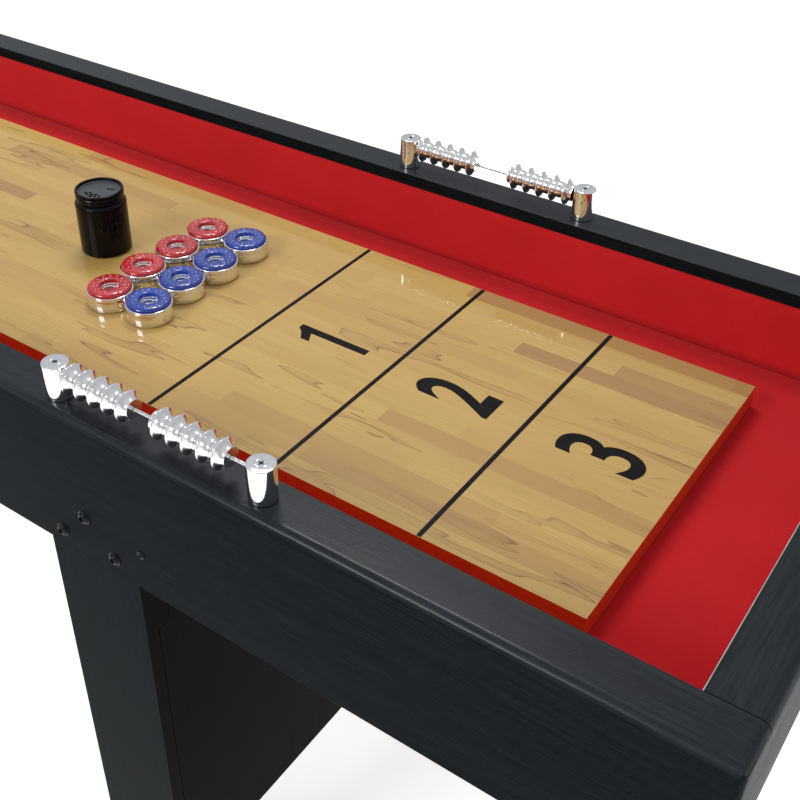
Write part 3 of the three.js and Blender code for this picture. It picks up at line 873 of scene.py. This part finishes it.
def add_bump(bm, spot, normal, size):
    """A low eight-sided bump with its base sunk in the surface."""
    radius = size * MM
    height = BUMP_HEIGHT * size * MM
    turn = normal.to_track_quat("Z", "Y").to_matrix().to_4x4()
    profile = [(share * radius, rise * height) for share, rise in BUMP_SHAPE]
    lathe(bm, profile, 8, Matrix.Translation(spot - normal * (BUMP_SUNK * size * MM)) @ turn)


def add_bumps(bm, place, rise):
    """Three rings of bumps that stand square to the cap; each other ring is turned by half a step."""
    for ring, (reach, count, size) in enumerate(BUMP_RINGS):
        slope = cap_height(reach + SLOPE_STEP, rise) - cap_height(reach - SLOPE_STEP, rise)
        normal = Vector((-slope / (2 * SLOPE_STEP), 0, 1)).normalized()
        spot = Vector((reach, 0, CAP_BASE + cap_height(reach, rise))) * MM
        for i in range(count):
            spin = Matrix.Rotation(2 * math.pi * (i + 0.5 * (ring % 2)) / count, 3, "Z")
            add_bump(bm, place + spin @ spot, spin @ normal, size)


def puck_profile(radius):
    """A low disc with a rounded foot, a faint waist, a bead near its top and a dish inside the cap."""
    foot = (radius - PUCK_FOOT_ROUND, PUCK_FOOT_ROUND)
    top = (radius - PUCK_TOP_ROUND, CAP_BASE - PUCK_TOP_ROUND)
    profile = list(PUCK_FOOT) + rounded_corner(foot, PUCK_FOOT_ROUND, -90, 0, 5)
    profile += offset_pairs(radius, 0, PUCK_WAIST)
    profile += rounded_corner(top, PUCK_TOP_ROUND, 0, 90, 4)
    return profile + offset_pairs(0, CAP_BASE, PUCK_DISH)


def cap_profile(rise):
    """The ring cap's section, as a closed ring that starts and ends at its inner edge."""
    low = CAP_BASE + CAP_GAP
    profile = [(CAP_INNER, low), (CAP_OUTER, low)]
    for i in range(CAP_STEPS + 1):
        reach = CAP_OUTER - (CAP_OUTER - CAP_INNER) * i / CAP_STEPS
        profile.append((reach, CAP_BASE + cap_height(reach, rise)))
    return profile + [(CAP_INNER, low)]


def add_puck(colour, number, finishes):
    node = f"puck_{colour}_{number}"
    place = node_base(node)
    rise = node_size(node).z - CAP_BASE
    bm = bmesh.new()
    lathe(bm, mm_profile(puck_profile(node_size(node).y / 2)), 72, upright(place))
    piece(f"puck_disc_{colour}_{number}", bm, finishes["chrome"], node, [node], 25)
    bm = bmesh.new()
    lathe(bm, mm_profile(cap_profile(rise)), 60, upright(place))
    bmesh.ops.remove_doubles(bm, verts=bm.verts, dist=1e-6)
    add_bumps(bm, place, rise)
    name = f"puck_cap_{colour}_{number}"
    piece(name, bm, finishes["cap_" + colour], node, sharp_deg=30)


def add_pucks(finishes):
    for colour in ("blue", "red"):
        for number in range(1, PUCKS + 1):
            add_puck(colour, number, finishes)


# ---------------------------------------------------------------- wax shaker, in millimetres
CAN_FOOT = ((-6, 1.2), (-5, 0))
CAN_FOOT_ROUND = 3.4
CAN_SHOULDER_DROP = 5.5
CAN_SHOULDER_ROUND = 3.0
CAN_NECK = ((-0.9, -2.0), (-1.2, -0.5))
NECK_RADIUS = 24
NECK_GAP = 0.3
LID_SKIRT = ((-0.8, 0), (-0.2, 0.6), (0, 1.6))
LID_GROOVE = ((0, -5.2), (-0.5, -4.4), (-0.5, -3.8), (0, -3.0))
LID_LIP_ROUND = 1.5
LID_DISH_EDGE = (-3.4, -3.0)
LID_DISH = (LID_DISH_EDGE, (-4.2, -3.6))
LID_DISH_FLOOR = ((18, -3.5), (0, -3.2))
LID_TURN = 35.5
LID_HOLES = (
    (-14, -7), (-9, -7),
    (-11.5, -11), (-6.5, -11.5), (-1.5, -11.5),
    (-7.5, -15.5), (-2.5, -16), (2.5, -15.5),
)
LID_HOLE_RADIUS = 2.0
LID_SLOT = (13.5, 3.0)
LID_SLOT_HALF = (5.0, 1.5)
DRILL_DEPTH = 5.2
DRILL_ABOVE = 5


def can_profile(radius, rim, shoulder, neck_top):
    foot = (radius - CAN_FOOT_ROUND, CAN_FOOT_ROUND)
    bend = (radius - CAN_SHOULDER_ROUND, shoulder - CAN_SHOULDER_DROP)
    profile = [(0, 1.2)] + offset_pairs(radius, 0, CAN_FOOT)
    profile += rounded_corner(foot, CAN_FOOT_ROUND, -80, 0, 7) + [(radius, shoulder - 6)]
    profile += rounded_corner(bend, CAN_SHOULDER_ROUND, 0, 70, 6)
    profile += offset_pairs(rim, shoulder, CAN_NECK)
    return profile + [(NECK_RADIUS, shoulder - 0.4), (NECK_RADIUS, neck_top), (0, neck_top)]


def lid_profile(rim, shoulder, neck_top, top):
    """The lid's inside, skirt, groove and rounded lip, down to the edge of its dish."""
    inside = NECK_RADIUS + NECK_GAP
    lip = (rim - LID_LIP_ROUND, top - LID_LIP_ROUND)
    profile = [(0, neck_top + NECK_GAP), (inside, neck_top + NECK_GAP), (inside, shoulder)]
    profile += offset_pairs(rim, shoulder, LID_SKIRT) + offset_pairs(rim, top, LID_GROOVE)
    profile += rounded_corner(lip, LID_LIP_ROUND, 0, 180, 10)
    return profile + offset_pairs(rim, top, (LID_DISH_EDGE,))


def add_shaker(finishes):
    can, lid = "wax_shaker_body", "wax_shaker_lid"
    place = node_base(can)
    neck_top = node_size(can).z
    rim = node_size(lid).x / 2
    lid_low, lid_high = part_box(lid)
    shoulder = (lid_low.z - place.z) / MM
    top = (lid_high.z - place.z) / MM
    bm = bmesh.new()
    profile = can_profile(node_size(can).x / 2, rim, shoulder, neck_top)
    lathe(bm, mm_profile(profile), 80, upright(place))
    piece("shaker_can", bm, finishes["can"], can, [can], 35)
    bm = bmesh.new()
    lathe(bm, mm_profile(lid_profile(rim, shoulder, neck_top, top)), 80, upright(place))
    dish = offset_pairs(rim, top, LID_DISH) + offset_pairs(0, top, LID_DISH_FLOOR)
    lathe(bm, mm_profile(dish), 80, upright(place), 1)
    bmesh.ops.remove_doubles(bm, verts=bm.verts, dist=1e-6)
    made = piece("shaker_lid", bm, [finishes["can"], finishes["lid"]], lid, [lid], 35)
    drill_lid(made, place, top)


def lid_drills(place, top):
    """The solids that are cut out of the lid: round holes on one side and a slot on the other."""
    bm = bmesh.new()
    to_lid = Matrix.Translation(place) @ Matrix.Rotation(math.radians(LID_TURN), 4, "Z")
    reach = LID_HOLE_RADIUS
    drill = mm_profile([(0, -DRILL_DEPTH), (reach, -DRILL_DEPTH), (reach, DRILL_ABOVE), (0, DRILL_ABOVE)])
    for x, y in LID_HOLES:
        lathe(bm, drill, 16, to_lid @ Matrix.Translation(Vector((x, y, top)) * MM))
    middle = Vector((*LID_SLOT, top)) * MM
    half = Vector((*LID_SLOT_HALF, DRILL_DEPTH)) * MM
    drilled = set(bm.verts)
    slab(bm, middle - half, middle + half)
    bmesh.ops.transform(bm, matrix=to_lid, verts=[v for v in bm.verts if v not in drilled])
    mesh = bpy.data.meshes.new("drills")
    bm.to_mesh(mesh)
    bm.free()
    return mesh


def drill_lid(lid, place, top):
    """Cuts the shaker holes and the pouring slot into the lid's mesh."""
    cutter = bpy.data.objects.new("drills", lid_drills(place, top))
    bpy.context.scene.collection.objects.link(cutter)
    cut = lid.modifiers.new("holes", "BOOLEAN")
    cut.operation = "DIFFERENCE"
    cut.solver = "EXACT"
    cut.object = cutter
    bake_modifiers(lid)
    lid.data.set_sharp_from_angle(angle=math.radians(30))
    bpy.data.objects.remove(cutter)


# ---------------------------------------------------------------- fasteners and feet, in millimetres
APRON_BOLTS = ((-39.4, 19.0), (-4.3, 53.1), (30.1, 19.5))
APRON_SCREW = (67.5, 46.0)
BOLT_HEAD = {"radius": 6.2, "height": 3.9, "socket": 2.7}
SCREW_HEAD = {"radius": 3.2, "height": 2.4, "socket": 1.2}
FLANGE_MARGIN = 1.2
FLANGE_EDGE = 0.7
FLANGE_TOP = 0.9
HEAD_STEPS = 6
HEAD_FULLNESS = 0.8
LEVELER_PAD_ROUND = 1.5
LEVELER_CUP_ROUND = 3
LEVELER_CUP_HEIGHT = 5
LEVELER_NUT = ((8, 8), (4, 8))
THREAD_PITCH = 1.5
THREAD_SPARE = 10
THREAD_CREST = (4.0, 8.6)
THREAD_ROOT = (3.5, 9.3)
THREAD_END = 3.4


def button_head(to_world, radius, height, socket):
    """A domed screw head on a thin flange, with a round socket in its top."""
    bm = bmesh.new()
    flange = radius + FLANGE_MARGIN
    profile = [(0, 0), (flange, 0), (flange, FLANGE_EDGE), (radius, FLANGE_TOP)]
    for i in range(1, HEAD_STEPS):
        angle = math.radians(90 * i / HEAD_STEPS)
        reach = radius * math.cos(angle) ** HEAD_FULLNESS
        if reach > socket:
            profile.append((reach, FLANGE_TOP + (height - FLANGE_TOP) * math.sin(angle)))
    profile += [(socket, height), (socket * 0.92, height * 0.45), (0, height * 0.35)]
    lathe(bm, mm_profile(profile), 30, to_world)
    return bm


def add_fasteners(finishes):
    """Three bolts and a small screw through each side rail into each leg's tongue."""
    for end, x_sign in (("right", 1), ("left", -1)):
        leg_middle = node_middle("leg_board_front_" + end).x
        for side, y_sign in (("front", -1), ("back", 1)):
            rail_low, rail_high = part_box("side_rail_" + side)
            face_y = rail_low.y if y_sign < 0 else rail_high.y
            turn = Matrix.Rotation(math.radians(-y_sign * 90), 4, "X")
            leg = f"{side}_{end}"
            heads = [(f"apron_bolt_{leg}_{n}", spot, BOLT_HEAD) for n, spot in enumerate(APRON_BOLTS, 1)]
            heads.append((f"apron_screw_{leg}", APRON_SCREW, SCREW_HEAD))
            for name, (along, up), shape in heads:
                place = Vector((leg_middle + x_sign * along * MM, face_y, rail_low.z + up * MM))
                bm = button_head(Matrix.Translation(place) @ turn, **shape)
                piece(name, bm, finishes["bolt"], "table", sharp_deg=30)


def leveler_profile(radius, tall):
    """A round foot, a cup over it and a threaded stem."""
    pad = (radius - LEVELER_PAD_ROUND, LEVELER_PAD_ROUND)
    cup = (radius - LEVELER_CUP_ROUND, LEVELER_CUP_HEIGHT)
    profile = [(0, 0)] + rounded_corner(pad, LEVELER_PAD_ROUND, -90, 0, 4)
    profile += rounded_corner(cup, LEVELER_CUP_ROUND, 0, 80, 5) + list(LEVELER_NUT)
    for i in range(int((tall - THREAD_SPARE) / THREAD_PITCH)):
        profile += offset_pairs(0, THREAD_PITCH * i, (THREAD_CREST, THREAD_ROOT))
    return profile + [(THREAD_END, tall), (0, tall)]


def add_levelers(finishes):
    for end in ("right", "left"):
        for side in SIDES:
            node = f"leveler_{side}_{end}"
            bm = bmesh.new()
            profile = leveler_profile(node_size(node).x / 2, node_size(node).z)
            lathe(bm, mm_profile(profile), 32, upright(node_base(node)))
            piece("threaded_" + node, bm, finishes["steel"], node, [node], 30)


# ---------------------------------------------------------------- edge bands
BAND_WIDTH = 0.0008
BAND_HEIGHT = 0.0012
BAND_BELOW_TOP = 0.0004
BAND_GAP = 0.0001


def add_edge_bands(finishes):
    """A pale edge band along the top of each end rail's inner face, as long as the end pad."""
    for end, outward in (("right", 1), ("left", -1)):
        low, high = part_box("end_rail_" + end)
        inner = low.x if outward > 0 else high.x
        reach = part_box("end_pad_" + end)[1].y
        top = high.z - BAND_BELOW_TOP
        near, far = sorted((inner - outward * BAND_GAP, inner - outward * (BAND_GAP + BAND_WIDTH)))
        bm = bmesh.new()
        slab(bm, (near, -reach, top - BAND_HEIGHT), (far, reach, top))
        piece("edge_band_" + end, bm, finishes["band"], "table")


# ---------------------------------------------------------------- stage and light
STAGE_SIZE = 40
STAGE_DROP = 0.0005
STAGE_GLOW = 0.52
STAGE_GREYS = ((0.86, 0.86, 0.86), (0.89, 0.89, 0.89))
HORIZON = (0.78, 0.80, 0.83)
ZENITH = (1.0, 1.02, 1.06)
HORIZON_ENDS = 0.15
ZENITH_STARTS = 0.75
WORLD_STRENGTH = 0.62
LAMPS = (
    ("ceiling", (0.0, 0.95, 3.0), (0.0, 0, 0.7), (1.1, 0.45), 26),
    ("front", (-0.2, -3.1, 2.9), (0.6, 0, 0.7), (1.4, 1.0), 62),
)


def add_stage():
    bm = bmesh.new()
    bmesh.ops.create_grid(bm, x_segments=2, y_segments=2, size=STAGE_SIZE)
    mesh = bpy.data.meshes.new("floor")
    bm.to_mesh(mesh)
    bm.free()
    floor = bpy.data.objects.new("floor", mesh)
    paint = Paint("pale_floor", roughness=0.8, specular_ior_level=0.2, emission_strength=STAGE_GLOW)
    paint.sockets["emission_color"].default_value = (1, 1, 1, 1)
    cloud = paint.noise(paint.place(), 3, 2)
    dark, light = STAGE_GREYS
    mesh.materials.append(paint.finish(Base_color=paint.ramp(cloud, [(0.3, dark), (0.7, light)])))
    floor.location.z = -STAGE_DROP
    bpy.context.scene.collection.objects.link(floor)


def area_light(name, place, aim, size, power):
    data = bpy.data.lights.new(name, "AREA")
    data.shape = "RECTANGLE"
    data.size, data.size_y = size
    data.energy = power
    light = bpy.data.objects.new(name, data)
    light.location = place
    light.rotation_mode = "QUATERNION"
    light.rotation_quaternion = (Vector(aim) - Vector(place)).to_track_quat("-Z", "Y")
    bpy.context.scene.collection.objects.link(light)


def add_room():
    """A soft room: a bright ceiling over dimmer walls."""
    world = bpy.data.worlds.new("studio")
    world.use_nodes = True
    tree = world.node_tree
    background = tree.nodes["Background"]
    direction = tree.nodes.new("ShaderNodeTexCoord").outputs["Generated"]
    split = tree.nodes.new("ShaderNodeSeparateXYZ")
    tree.links.new(direction, split.inputs[0])
    height = tree.nodes.new("ShaderNodeMapRange")
    height.interpolation_type = "SMOOTHSTEP"
    height.inputs["From Min"].default_value = HORIZON_ENDS
    height.inputs["From Max"].default_value = ZENITH_STARTS
    tree.links.new(split.outputs[2], height.inputs["Value"])
    blend = tree.nodes.new("ShaderNodeMix")
    blend.data_type = "RGBA"
    blend.inputs[6].default_value = (*HORIZON, 1)
    blend.inputs[7].default_value = (*ZENITH, 1)
    tree.links.new(height.outputs["Result"], blend.inputs["Factor"])
    tree.links.new(blend.outputs[2], background.inputs["Color"])
    background.inputs["Strength"].default_value = WORLD_STRENGTH
    bpy.context.scene.world = world


def add_light():
    """The room, a lamp over the far side and one over the player's side."""
    add_room()
    for lamp in LAMPS:
        area_light(*lamp)
    bpy.context.scene.view_settings.view_transform = "Standard"


add_camera()
finishes = make_finishes()
add_cabinet(finishes)
add_playfield(finishes)
add_lines(finishes)
add_digits(finishes)
add_felt(finishes)
add_posts(finishes)
add_beads(finishes)
add_pucks(finishes)
add_shaker(finishes)
add_fasteners(finishes)
add_levelers(finishes)
add_edge_bands(finishes)
add_stage()
add_light()
